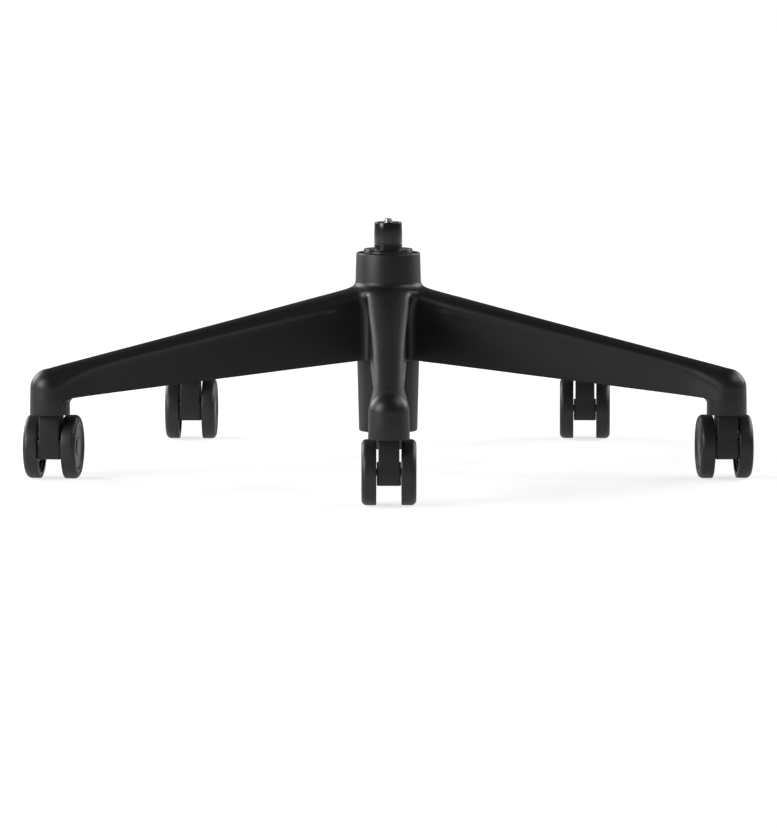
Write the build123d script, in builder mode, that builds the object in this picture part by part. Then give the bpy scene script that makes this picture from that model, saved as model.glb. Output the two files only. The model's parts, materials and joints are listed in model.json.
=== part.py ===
"""Five-star office chair base on twin-wheel casters, with its gas lift column.

Frame: millimetres, +Z up, floor at Z = 0, hub axis on Z, one leg pointing along -Y.
Each caster is modelled at the origin with its swivel axis on Z and its trail along +X,
then placed at the end of its leg.
"""

import math
import os

from build123d import *

# Star
leg_count = 5
first_leg_angle = -90.0
socket_circle_radius = 350.0

# Hub of the star, as radii and heights above the floor
hub_bottom_z = 40.0
hub_foot_radius = 29.2
hub_neck_radius = 31.6
hub_edge_radius = 1.6
collar_bottom_radius = 32.75
collar_top_radius = 31.8
collar_top_z = 217.3
collar_edge_radius = 2.0
collar_blend_radius = 6.0

collar_foot_run = 6.0
collar_foot_rise = 0.3

# Crotch between two legs: round corners that follow the cap and the wall of a leg
crotch_radius = 8.0
crotch_reach = 46.0
crotch_trim = 2.0
crotch_ridge_drop = 12.5

# Leg, measured outwards from the hub axis
top_slope_deg = 12.8
bottom_slope = 0.0985
bottom_z_at_axis = 114.4
leg_root_run = 34.0
waist_inset = 65.0
leg_wall = 3.4
leg_top_wall = 4.6
wall_draft = 0.018
cove_drop = 3.6
pocket_start = 42.0
pocket_end_inset = 33.0
rib_thickness = 2.4
rib_recess = 4.0
rib_count = 6

# Socket boss at the end of each leg
boss_radius = 19.4
boss_foot_radius = 19.9
boss_dome_z = 91.0
boss_bottom_z = 67.6
boss_edge_radius = 1.4
boss_overrun = 2.0
boss_sink = 0.35
inner_corner_radius = 8.5
relief_outer_radius = 15.6
relief_inner_radius = 9.8
relief_depth = 16.0
relief_rib_count = 6
relief_rib_thickness = 2.0

# Gas lift: outer column
column_radius = 25.0
column_wall = 2.0
column_top_z = 218.6
taper_top_z = 118.0
taper_bottom_z = 47.0
taper_bottom_radius = 23.2
nose_radius = 18.5
nose_top_z = 41.0
nose_bottom_z = 20.5
nose_recess = 5.5
nose_floor = 2.5
bore_relief = 0.5

# Gas lift: guide bush
bush_length = 78.0
bush_lip_radius = 24.4
bush_lip_height = 2.2
bush_skin = 2.2
bush_flange = 3.0
bush_rib_count = 8
bush_rib_thickness = 2.2

# Gas lift: pressure tube and what is in it
tube_radius = 14.0
tube_wall = 1.6
tube_cap = 3.0
neck_height = 4.4
neck_groove_width = 1.2
neck_groove_depth = 0.5
seat_length = 12.0
seat_cone_length = 9.0
seat_cone_top_radius = 13.5
guide_height = 12.0
lift_stroke = 100.0
valve_height = 21.0
pin_radius = 4.0
pin_proud = 3.4
pin_flange_radius = 6.0
pin_flange_height = 2.0
pin_stem_radius = 2.0
pin_travel = 2.5

# Gas lift: piston rod, thrust bearing and bumper
rod_radius = 5.0
rod_foot_radius = 4.0
rod_foot_length = 4.5
piston_height = 10.0
piston_gap = 0.1
washer_radius = 15.5
washer_thickness = 1.5
ball_radius = 2.0
ball_count = 10
ball_circle_radius = 10.5
cage_half_width = 3.4
cage_thickness = 1.4
bumper_radius = 13.5
bumper_height = 9.0
clip_radius = 8.0
clip_thickness = 1.0
clip_groove_depth = 0.7

# Caster: swivel
caster_trail = 20.0
stem_radius = 5.5
stem_socket_length = 24.0
stem_flange_radius = 8.0
stem_flange_height = 1.8
stem_flange_recess = 1.1
pivot_radius = 5.0
pivot_length = 26.0
ring_height = 1.4
ring_groove_depth = 0.9
ring_groove_inset = 4.0
body_half_width = 9.0
body_neck_radius = 9.0
body_boss_half_width = 11.6
body_boss_radius = 9.8
body_foot_radius = 10.7
body_front_bottom_z = 21.6
body_back_rise = 12.0
body_toe_radius = 5.0
body_edge_radius = 1.2

# Caster: wheels
wheel_radius = 31.5
wheel_inner_face = 11.9
wheel_outer_face = 26.2
tyre_bore_radius = 26.0
tyre_shoulder = 5.0
tyre_inner_edge = 1.2
rim_wall = 3.0
rim_recess = 0.7
rim_step = 2.0
ring_radius = 15.0
ring_thickness = 1.8
disc_thickness = 2.6
disc_radius = 21.0
disc_recess = 2.2
cap_radius = 8.6
cap_recess = 1.2
wheel_hub_radius = 7.6
spoke_count = 8
spoke_thickness = 1.8
spoke_recess = 2.5
axle_radius = 3.5
axle_half_length = 21.0
axle_groove_start = 17.4
axle_groove_width = 1.6
axle_groove_depth = 0.4

# Clearances
running_gap = 0.08
side_gap = 0.3
seat_gap = 0.02
face_gap = 0.1

# The casters in leg order, and the compass heading that each one trails along
caster_names = ["front", "right", "rear_right", "rear_left", "left"]
caster_headings = [90.0, 93.9, 88.3, 87.8, 82.7]

# Levels of a crotch: height above the widest line of the cap, and half width of a leg there
crotch_levels = [
    (-3.6, 16.8),
    (0.0, 21.0),
    (3.6, 20.1),
    (6.8, 17.9),
    (9.4, 14.6),
    (11.4, 10.0),
]

# Taper of a leg from its root to its waist: share of the way, then half width of the cap,
# rise of the cap and half width of the wall
leg_taper = [
    (0.0, 21.7, 12.8, 17.3),
    (0.12, 20.2, 12.0, 16.6),
    (0.33, 18.0, 10.6, 15.5),
    (0.56, 15.9, 9.6, 14.3),
    (0.79, 14.6, 8.9, 13.4),
    (1.0, 14.0, 8.6, 12.9),
]

# Flare of a leg into its boss: distance short of the swivel axis, then as above
leg_flare = [
    (34.0, 14.8, 10.4, 13.8),
    (14.0, 17.4, 14.8, 16.8),
]

# Sizes that follow from those above
slope = math.tan(math.radians(top_slope_deg))
tangent_run = boss_radius * math.sin(math.radians(top_slope_deg))
tangent_rise = boss_radius * math.cos(math.radians(top_slope_deg))
leg_angle_step = 360.0 / leg_count
waist_run = socket_circle_radius - waist_inset
pocket_end = socket_circle_radius - pocket_end_inset
leg_stations = [(leg_root_run + share * (waist_run - leg_root_run), *sizes) for share, *sizes in leg_taper]
leg_stations += [(socket_circle_radius - inset, *sizes) for inset, *sizes in leg_flare]
column_inner_radius = column_radius - column_wall
nose_inner_radius = nose_radius - column_wall
bush_top_z = column_top_z + bush_lip_height
bush_bottom_z = column_top_z - bush_length
nose_floor_z = nose_bottom_z + nose_recess
bearing_floor_z = nose_floor_z + nose_floor
balls_z = bearing_floor_z + washer_thickness + ball_radius
rod_shoulder_z = balls_z + ball_radius + washer_thickness
bumper_top_z = rod_shoulder_z + bumper_height
tube_bottom_z = bumper_top_z + face_gap
groove_bottom_z = bush_top_z + neck_height
seat_bottom_z = groove_bottom_z + neck_groove_width
seat_top_z = seat_bottom_z + seat_length
tube_top_z = seat_top_z + seat_cone_length
tube_bore_radius = tube_radius - tube_wall
guide_top_z = tube_bottom_z + guide_height
piston_bottom_z = guide_top_z + lift_stroke + side_gap
piston_top_z = piston_bottom_z + piston_height
valve_top_z = tube_top_z - tube_cap
valve_bottom_z = valve_top_z - valve_height
socket_radius = stem_radius + seat_gap
stem_flange_top_z = boss_bottom_z + stem_flange_recess
stem_flange_bottom_z = stem_flange_top_z - stem_flange_height
stem_top_z = stem_flange_top_z + stem_socket_length
pivot_bottom_z = stem_flange_bottom_z - pivot_length
body_top_z = stem_flange_bottom_z - side_gap


def top_z(run):
    """Height of the leg's top line at a distance from the hub axis."""
    tangent_at = socket_circle_radius + tangent_run
    return boss_dome_z + tangent_rise + slope * (tangent_at - run)


def bottom_z(run):
    """Height of the leg's lower edge at a distance from the hub axis."""
    return bottom_z_at_axis - bottom_slope * run


def leg_at(run):
    """Half width of the cap, its rise and half width of the wall at a distance from the hub axis."""
    for near, far in zip(leg_stations, leg_stations[1:]):
        if near[0] <= run <= far[0]:
            share = (run - near[0]) / (far[0] - near[0])
            return [a + share * (b - a) for a, b in zip(near[1:], far[1:])]
    return leg_stations[-1][1:]


crotch_z = top_z(crotch_reach) - crotch_ridge_drop


def leg_outline(run, half_width, rise, wall_half, crest_z):
    """Upright cross-section of a leg: a rounded cap, a cove under it and drafted walls."""
    ridge_z = crest_z - rise
    wall_top_z = ridge_z - cove_drop
    foot_half = wall_half + wall_draft * (wall_top_z - boss_bottom_z)
    with BuildSketch(Plane.YZ.offset(run)) as outline:
        with BuildLine():
            cap = EllipticalCenterArc((0, ridge_z), half_width, rise, 0, arc_size=180)
            cove = Line(cap @ 1, (-wall_half, wall_top_z))
            near_wall = Line(cove @ 1, (-foot_half, boss_bottom_z))
            foot = Line(near_wall @ 1, (foot_half, boss_bottom_z))
            far_wall = Line(foot @ 1, (wall_half, wall_top_z))
            Line(far_wall @ 1, cap @ 0)
        make_face()
    return outline.sketch


def pocket_outline(run):
    """Upright cross-section of the hollow under a leg."""
    half_width, rise, wall_half = leg_at(run)
    ridge_z = top_z(run) - rise
    half = wall_half - leg_wall
    spring_z = ridge_z + 0.3 * rise
    with BuildSketch(Plane.YZ.offset(run)) as outline:
        with BuildLine():
            vault = ThreePointArc((half, spring_z), (0, top_z(run) - leg_top_wall), (-half, spring_z))
            near_wall = Line(vault @ 1, (-half, boss_bottom_z - 1))
            foot = Line(near_wall @ 1, (half, boss_bottom_z - 1))
            Line(foot @ 1, vault @ 0)
        make_face()
    return outline.sketch


# Socket boss at the end of a leg, about its own axis
with BuildPart() as boss:
    with BuildSketch(Plane.XZ):
        with BuildLine():
            axis_line = Line((0, boss_bottom_z), (0, boss_dome_z + boss_radius))
            dome = CenterArc((0, boss_dome_z), boss_radius, 0, 90)
            side = Line(dome @ 0, (boss_foot_radius, boss_bottom_z))
            Line(side @ 1, axis_line @ 0)
        make_face()
    revolve(axis=Axis.Z)
    foot_edge = boss.edges().filter_by(GeomType.CIRCLE).sort_by(Axis.Z)[0]
    fillet(foot_edge, boss_edge_radius)

# The hollow under a leg, left in cells by the long rib and the cross ribs
with BuildPart() as leg_pocket:
    inner_runs = [station[0] for station in leg_stations if pocket_start + 5 < station[0] < pocket_end - 5]
    for run in [pocket_start, *inner_runs, pocket_end]:
        add(pocket_outline(run))
    loft()
    with BuildSketch(Plane.XZ) as rib_side:
        with BuildLine():
            Polyline(
                (pocket_start - 1, bottom_z(pocket_start - 1) + rib_recess),
                (pocket_end + 1, bottom_z(pocket_end + 1) + rib_recess),
                (pocket_end + 1, top_z(0)),
                (pocket_start - 1, top_z(0)),
                close=True,
            )
        make_face()
    extrude(amount=rib_thickness / 2, both=True, mode=Mode.SUBTRACT)
    rib_pitch = (pocket_end - pocket_start) / (rib_count + 1)
    for index in range(1, rib_count + 1):
        rib_run = pocket_start + index * rib_pitch
        rib_foot = bottom_z(rib_run) + rib_recess
        with BuildSketch(Plane.YZ.offset(rib_run - rib_thickness / 2)):
            with Locations((0, (rib_foot + top_z(0)) / 2)):
                Rectangle(4 * boss_radius, top_z(0) - rib_foot)
        extrude(amount=rib_thickness, mode=Mode.SUBTRACT)

# The stem socket with its flange seat, and the ribbed relief around it
with BuildPart() as boss_hollow:
    with BuildSketch(Plane.XY.offset(boss_bottom_z)):
        Circle(socket_radius)
    extrude(amount=stem_flange_recess + stem_socket_length + side_gap)
    with BuildSketch(Plane.XY.offset(boss_bottom_z)):
        Circle(stem_flange_radius + seat_gap)
    extrude(amount=stem_flange_recess)
    with BuildSketch(Plane.XY.offset(boss_bottom_z)):
        Circle(relief_outer_radius)
        Circle(relief_inner_radius, mode=Mode.SUBTRACT)
        with PolarLocations(0, relief_rib_count):
            Rectangle(
                relief_outer_radius + 1,
                relief_rib_thickness,
                align=(Align.MIN, Align.CENTER),
                mode=Mode.SUBTRACT,
            )
    extrude(amount=relief_depth)

# One leg blank, pointing along +X, from the crotch to just past the swivel axis
with BuildPart() as leg_blank:
    for station in leg_stations:
        add(leg_outline(*station, top_z(station[0])))
    end_run = socket_circle_radius + boss_overrun
    end_half = math.sqrt(boss_radius**2 - boss_overrun**2) - boss_sink
    add(leg_outline(end_run, end_half, end_half, end_half, boss_dome_z + end_half))
    loft()

# The round corner under the leg, turned about the boss and trimmed to the leg's walls
corner_z = bottom_z(socket_circle_radius - boss_foot_radius - inner_corner_radius)
with BuildPart() as leg_corner:
    with BuildSketch(Plane.XZ):
        with BuildLine():
            reach = boss_foot_radius + inner_corner_radius
            under = RadiusArc(
                (boss_radius, corner_z - inner_corner_radius),
                (reach, corner_z),
                inner_corner_radius,
            )
            rim = Line(under @ 1, (reach, corner_z + 2 * inner_corner_radius))
            roof = Line(rim @ 1, (0, corner_z + 2 * inner_corner_radius))
            core = Line(roof @ 1, (0, corner_z - inner_corner_radius))
            Line(core @ 1, under @ 0)
        make_face()
    revolve(axis=Axis.Z)
    with Locations((-socket_circle_radius, 0, 0)):
        add(leg_blank.part, mode=Mode.INTERSECT)

# The whole leg: blank, clear space under it, round corner, boss and hollows
with BuildPart() as leg:
    add(leg_blank.part)
    with BuildSketch(Plane.XZ):
        with BuildLine():
            Polyline(
                (0, bottom_z(0)),
                (2 * socket_circle_radius, bottom_z(2 * socket_circle_radius)),
                (2 * socket_circle_radius, boss_bottom_z - 60),
                (0, boss_bottom_z - 60),
                close=True,
            )
        make_face()
    extrude(amount=3 * boss_radius, both=True, mode=Mode.SUBTRACT)
    with Locations((socket_circle_radius, 0, 0)):
        add(leg_corner.part)
        add(boss.part)
    add(leg_pocket.part, mode=Mode.SUBTRACT)
    with Locations((socket_circle_radius, 0, 0)):
        add(boss_hollow.part, mode=Mode.SUBTRACT)


def crotch_outline(half_width, height):
    """Plan of the legs at the hub, with round corners between them."""
    with BuildSketch(Plane.XY.offset(height)) as outline:
        with PolarLocations(0, leg_count, start_angle=first_leg_angle):
            Rectangle(crotch_reach, 2 * half_width, align=(Align.MIN, Align.CENTER))
        fillet(outline.vertices().group_by(SortBy.DISTANCE)[0], crotch_radius)
    return outline.sketch


# The crotches: drafted walls below, and a rounded rim that carries on the caps of the legs
with BuildPart() as crotch:
    wall_level, wall_half_width = crotch_levels[0]
    crotch_foot_z = bottom_z(hub_neck_radius)
    crotch_draft = wall_draft * (crotch_z + wall_level - crotch_foot_z)
    add(crotch_outline(wall_half_width + crotch_draft, crotch_foot_z))
    add(crotch_outline(wall_half_width, crotch_z + wall_level))
    loft(ruled=True)
    for level, half_width in crotch_levels:
        add(crotch_outline(half_width, crotch_z + level))
    loft()
    with BuildSketch(Plane.XY.offset(crotch_foot_z - 1)):
        Circle(crotch_reach - crotch_trim)
    extrude(amount=collar_top_z, mode=Mode.INTERSECT)

# The star: hub, crotches and legs in one moulding, bored for the column
with BuildPart() as base_star:
    with BuildSketch(Plane.XZ) as hub_side:
        foot_run = collar_bottom_radius + collar_foot_run
        collar_foot = (collar_bottom_radius, top_z(collar_bottom_radius) + collar_foot_rise)
        with BuildLine():
            Polyline(
                (0, hub_bottom_z),
                (hub_foot_radius, hub_bottom_z),
                (hub_neck_radius, crotch_z),
                (foot_run, crotch_z),
                (foot_run, top_z(foot_run) - 2 * collar_foot_run),
                collar_foot,
                (collar_top_radius, collar_top_z),
                (0, collar_top_z),
                close=True,
            )
        make_face()
        fillet(hub_side.vertices().sort_by_distance(collar_foot)[0], collar_blend_radius)
    revolve(axis=Axis.Z)
    add(crotch.part)
    with PolarLocations(0, leg_count, start_angle=first_leg_angle):
        add(leg.part)
    # Bore for the column: a seating taper below, relieved above it
    with BuildSketch(Plane.XZ):
        with BuildLine():
            taper_slope = (column_radius - taper_bottom_radius) / (taper_top_z - taper_bottom_z)
            mouth_radius = taper_bottom_radius - taper_slope * (taper_bottom_z - hub_bottom_z + 1)
            Polyline(
                (0, hub_bottom_z - 1),
                (mouth_radius + seat_gap, hub_bottom_z - 1),
                (column_radius + seat_gap, taper_top_z),
                (column_radius + bore_relief, taper_top_z),
                (column_radius + bore_relief, collar_top_z + 1),
                (0, collar_top_z + 1),
                close=True,
            )
        make_face()
    revolve(axis=Axis.Z, mode=Mode.SUBTRACT)
    hub_circles = base_star.edges().filter_by(GeomType.CIRCLE)
    top_circles = hub_circles.group_by(Axis.Z)[-1].sort_by(SortBy.RADIUS)
    fillet(top_circles[-1], collar_edge_radius)
    foot_circles = base_star.edges().filter_by(GeomType.CIRCLE).group_by(Axis.Z)[0]
    fillet(foot_circles.sort_by(SortBy.RADIUS)[-1], hub_edge_radius)

# Outer column: straight above, tapered where it wedges in the hub, swaged to a nose below
with BuildPart() as column_tube:
    with BuildSketch(Plane.XZ):
        with BuildLine():
            Polyline(
                (column_inner_radius, column_top_z),
                (column_radius, column_top_z),
                (column_radius, taper_top_z),
                (taper_bottom_radius, taper_bottom_z),
                (nose_radius, nose_top_z),
                (nose_radius, nose_bottom_z),
                (nose_inner_radius, nose_bottom_z),
                (nose_inner_radius, nose_floor_z),
                (rod_foot_radius + running_gap, nose_floor_z),
                (rod_foot_radius + running_gap, bearing_floor_z),
                (nose_inner_radius, bearing_floor_z),
                (nose_inner_radius, nose_top_z),
                (taper_bottom_radius - column_wall, taper_bottom_z),
                (column_inner_radius, taper_top_z),
                close=True,
            )
        make_face()
    revolve(axis=Axis.Z)

# Guide bush: a skin against the column, a skin around the tube and ribs between them
with BuildPart() as guide_bush:
    with BuildSketch(Plane.XZ):
        with BuildLine():
            Polyline(
                (tube_radius + running_gap, bush_bottom_z),
                (column_inner_radius - seat_gap, bush_bottom_z),
                (column_inner_radius - seat_gap, column_top_z),
                (bush_lip_radius, column_top_z),
                (bush_lip_radius, bush_top_z),
                (tube_radius + running_gap, bush_top_z),
                close=True,
            )
        make_face()
    revolve(axis=Axis.Z)
    with BuildSketch(Plane.XY.offset(bush_bottom_z)):
        Circle(column_inner_radius - seat_gap - bush_skin)
        Circle(tube_radius + running_gap + bush_skin, mode=Mode.SUBTRACT)
        with PolarLocations(0, bush_rib_count):
            Rectangle(
                column_radius,
                bush_rib_thickness,
                align=(Align.MIN, Align.CENTER),
                mode=Mode.SUBTRACT,
            )
    extrude(amount=bush_length - bush_flange, mode=Mode.SUBTRACT)
    lip_edges = guide_bush.edges().filter_by(GeomType.CIRCLE).group_by(Axis.Z)[-1]
    fillet(lip_edges.sort_by(SortBy.RADIUS)[-1], bush_lip_height / 3)

# Pressure tube: sliding wall, a groove, the seat spigot and its cone, closed by a cap
with BuildPart() as pressure_tube:
    with BuildSketch(Plane.XZ):
        with BuildLine():
            Polyline(
                (tube_bore_radius, tube_bottom_z),
                (tube_radius, tube_bottom_z),
                (tube_radius, groove_bottom_z),
                (tube_radius - neck_groove_depth, groove_bottom_z),
                (tube_radius - neck_groove_depth, seat_bottom_z),
                (tube_radius, seat_bottom_z),
                (tube_radius, seat_top_z),
                (seat_cone_top_radius, tube_top_z),
                (pin_radius + running_gap, tube_top_z),
                (pin_radius + running_gap, valve_top_z),
                (tube_bore_radius, valve_top_z),
                close=True,
            )
        make_face()
    revolve(axis=Axis.Z)

# Rod guide: the seal block that closes the foot of the tube around the rod
with BuildPart() as rod_guide:
    with BuildSketch(Plane.XY.offset(tube_bottom_z)):
        Circle(tube_bore_radius - seat_gap)
        Circle(rod_radius + running_gap, mode=Mode.SUBTRACT)
    extrude(amount=guide_height)

# Valve body under the cap, bored for the stem of the release pin and its flange
with BuildPart() as valve_body:
    with BuildSketch(Plane.XY.offset(valve_bottom_z)):
        Circle(tube_bore_radius - seat_gap)
        Circle(pin_stem_radius + running_gap, mode=Mode.SUBTRACT)
    extrude(amount=valve_height)
    flange_room = pin_flange_height + pin_travel + side_gap
    with BuildSketch(Plane.XY.offset(valve_top_z - flange_room)):
        Circle(pin_flange_radius + running_gap)
    extrude(amount=flange_room, mode=Mode.SUBTRACT)

# Release pin: head above the cap, flange under it, stem down through the valve
with BuildPart() as release_pin:
    with BuildSketch(Plane.XZ):
        with BuildLine():
            Polyline(
                (0, valve_bottom_z),
                (pin_stem_radius, valve_bottom_z),
                (pin_stem_radius, valve_top_z - face_gap - pin_flange_height),
                (pin_flange_radius, valve_top_z - face_gap - pin_flange_height),
                (pin_flange_radius, valve_top_z - face_gap),
                (pin_radius, valve_top_z - face_gap),
                (pin_radius, tube_top_z + pin_proud),
                (0, tube_top_z + pin_proud),
                close=True,
            )
        make_face()
    revolve(axis=Axis.Z)
    fillet(release_pin.edges().filter_by(GeomType.CIRCLE).sort_by(Axis.Z)[-1], pin_radius / 5)

# Piston rod, stepped at its foot for the bearing, the floor of the nose and the clip
with BuildPart() as piston_rod:
    clip_top_z = nose_floor_z - face_gap
    foot_z = nose_floor_z - rod_foot_length
    with BuildSketch(Plane.XZ):
        with BuildLine():
            Polyline(
                (0, foot_z),
                (rod_foot_radius, foot_z),
                (rod_foot_radius, clip_top_z - clip_thickness),
                (rod_foot_radius - clip_groove_depth, clip_top_z - clip_thickness),
                (rod_foot_radius - clip_groove_depth, clip_top_z),
                (rod_foot_radius, clip_top_z),
                (rod_foot_radius, rod_shoulder_z),
                (rod_radius, rod_shoulder_z),
                (rod_radius, piston_bottom_z),
                (rod_foot_radius, piston_bottom_z),
                (rod_foot_radius, piston_top_z),
                (0, piston_top_z),
                close=True,
            )
        make_face()
    revolve(axis=Axis.Z)

with BuildPart() as piston:
    with BuildSketch(Plane.XY.offset(piston_bottom_z)):
        Circle(tube_bore_radius - piston_gap)
        Circle(rod_foot_radius + seat_gap, mode=Mode.SUBTRACT)
    extrude(amount=piston_height)

with BuildPart() as rod_clip:
    with BuildSketch(Plane.XY.offset(clip_top_z - clip_thickness)):
        Circle(clip_radius)
        Circle(rod_foot_radius - clip_groove_depth + seat_gap, mode=Mode.SUBTRACT)
        with Locations((clip_radius, 0)):
            Rectangle(2 * clip_radius, rod_foot_radius, mode=Mode.SUBTRACT)
    extrude(amount=clip_thickness)

# Thrust bearing under the rod's shoulder: two washers with caged balls between them
with BuildPart() as bearing_washer_lower:
    with BuildSketch(Plane.XY.offset(bearing_floor_z)):
        Circle(washer_radius)
        Circle(rod_foot_radius + running_gap, mode=Mode.SUBTRACT)
    extrude(amount=washer_thickness)

with BuildPart() as bearing_washer_upper:
    with BuildSketch(Plane.XY.offset(balls_z + ball_radius)):
        Circle(washer_radius)
        Circle(rod_foot_radius + seat_gap, mode=Mode.SUBTRACT)
    extrude(amount=washer_thickness)

with BuildPart() as bearing_balls:
    with BuildSketch(Plane.XY.offset(balls_z - cage_thickness / 2)):
        Circle(ball_circle_radius + cage_half_width)
        Circle(ball_circle_radius - cage_half_width, mode=Mode.SUBTRACT)
    extrude(amount=cage_thickness)
    with Locations((0, 0, balls_z)):
        with PolarLocations(ball_circle_radius, ball_count):
            Sphere(ball_radius - seat_gap)

with BuildPart() as bumper:
    with BuildSketch(Plane.XY.offset(rod_shoulder_z)):
        Circle(bumper_radius)
        Circle(rod_radius + seat_gap, mode=Mode.SUBTRACT)
    extrude(amount=bumper_height)
    fillet(bumper.edges().group_by(Axis.Z)[-1].sort_by(SortBy.RADIUS)[-1], bumper_height / 6)

# Caster stem: ribbed into the boss above its flange, the pivot of the caster below it
upper_ring_z = stem_top_z - ring_groove_inset
lower_ring_z = pivot_bottom_z + ring_groove_inset
with BuildPart() as caster_stem:
    with BuildSketch(Plane.XZ):
        with BuildLine():
            Polyline(
                (0, pivot_bottom_z),
                (pivot_radius, pivot_bottom_z),
                (pivot_radius, lower_ring_z),
                (pivot_radius - ring_groove_depth, lower_ring_z),
                (pivot_radius - ring_groove_depth, lower_ring_z + ring_height),
                (pivot_radius, lower_ring_z + ring_height),
                (pivot_radius, stem_flange_bottom_z),
                (stem_flange_radius, stem_flange_bottom_z),
                (stem_flange_radius, stem_flange_top_z),
                (stem_radius, stem_flange_top_z),
                (stem_radius, upper_ring_z),
                (stem_radius - ring_groove_depth, upper_ring_z),
                (stem_radius - ring_groove_depth, upper_ring_z + ring_height),
                (stem_radius, upper_ring_z + ring_height),
                (stem_radius, stem_top_z),
                (0, stem_top_z),
                close=True,
            )
        make_face()
    revolve(axis=Axis.Z)
    chamfer(caster_stem.edges().filter_by(GeomType.CIRCLE).sort_by(Axis.Z)[-1], stem_radius / 6)

# Grip ring: the open spring ring that holds the stem in its socket
with BuildPart() as grip_ring:
    with BuildSketch(Plane.XY.offset(upper_ring_z)):
        Circle(stem_radius - seat_gap)
        Circle(stem_radius - ring_groove_depth + seat_gap, mode=Mode.SUBTRACT)
        with Locations((stem_radius, 0)):
            Rectangle(2 * ring_groove_depth + 1, 2 * ring_groove_depth, mode=Mode.SUBTRACT)
    extrude(amount=ring_height)

# Snap ring: sits in the pivot's groove and stands out into the groove of the caster body
snap_ring_radius = pivot_radius + ring_groove_depth - 0.1
with BuildPart() as snap_ring:
    with BuildSketch(Plane.XY.offset(lower_ring_z)):
        Circle(snap_ring_radius)
        Circle(pivot_radius - ring_groove_depth + seat_gap, mode=Mode.SUBTRACT)
        with Locations((snap_ring_radius, 0)):
            Rectangle(4 * ring_groove_depth, 2 * ring_groove_depth, mode=Mode.SUBTRACT)
    extrude(amount=ring_height)

# Caster body: a slab around the pivot that runs back and down to the axle boss
with BuildPart() as caster_body:
    with BuildSketch(Plane.XZ) as body_side:
        back_z = wheel_radius + body_foot_radius
        with BuildLine():
            Polyline(
                (-body_neck_radius, body_top_z),
                (body_neck_radius, body_top_z),
                (body_neck_radius, back_z + body_back_rise),
                (caster_trail + 0.6 * body_foot_radius, wheel_radius + 0.8 * body_foot_radius),
                (caster_trail, wheel_radius - body_foot_radius),
                (0, body_front_bottom_z),
                (-body_neck_radius, body_front_bottom_z),
                close=True,
            )
        make_face()
        front_corner = body_side.vertices().group_by(Axis.X)[0].sort_by(Axis.Y)[0]
        fillet(front_corner, body_toe_radius)
        with Locations((caster_trail, wheel_radius)):
            Circle(body_foot_radius)
    extrude(amount=body_half_width, both=True)
    front_edges = caster_body.edges().filter_by(Axis.Z).group_by(Axis.X)[0]
    fillet(front_edges, body_edge_radius)
    with BuildSketch(Plane.XZ):
        with Locations((caster_trail, wheel_radius)):
            Circle(body_boss_radius)
    extrude(amount=body_boss_half_width, both=True)
    # Bore for the pivot with the groove that the snap ring turns in
    with BuildSketch(Plane.XZ):
        with BuildLine():
            bore = pivot_radius + running_gap
            groove = snap_ring_radius + running_gap
            Polyline(
                (0, pivot_bottom_z - side_gap),
                (bore, pivot_bottom_z - side_gap),
                (bore, lower_ring_z - side_gap),
                (groove, lower_ring_z - side_gap),
                (groove, lower_ring_z + ring_height + side_gap),
                (bore, lower_ring_z + ring_height + side_gap),
                (bore, body_top_z + 1),
                (0, body_top_z + 1),
                close=True,
            )
        make_face()
    revolve(axis=Axis.Z, mode=Mode.SUBTRACT)
    with BuildSketch(Plane.XZ):
        with Locations((caster_trail, wheel_radius)):
            Circle(axle_radius + seat_gap)
    extrude(amount=body_boss_half_width + 1, both=True, mode=Mode.SUBTRACT)

# Axle: a steel pin through the body, grooved near each end for the wheel to snap on
axle_line = Axis((caster_trail, 0, wheel_radius), (0, 1, 0))
axle_plane = Plane((caster_trail, 0, wheel_radius), x_dir=(1, 0, 0), z_dir=(0, 0, 1))
groove_end = axle_groove_start + axle_groove_width
with BuildPart() as axle:
    with BuildSketch(axle_plane):
        with BuildLine():
            Polyline(
                (0, -axle_half_length),
                (axle_radius, -axle_half_length),
                (axle_radius, -groove_end),
                (axle_radius - axle_groove_depth, -groove_end),
                (axle_radius - axle_groove_depth, -axle_groove_start),
                (axle_radius, -axle_groove_start),
                (axle_radius, axle_groove_start),
                (axle_radius - axle_groove_depth, axle_groove_start),
                (axle_radius - axle_groove_depth, groove_end),
                (axle_radius, groove_end),
                (axle_radius, axle_half_length),
                (0, axle_half_length),
                close=True,
            )
        make_face()
    revolve(axis=axle_line)

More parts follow.
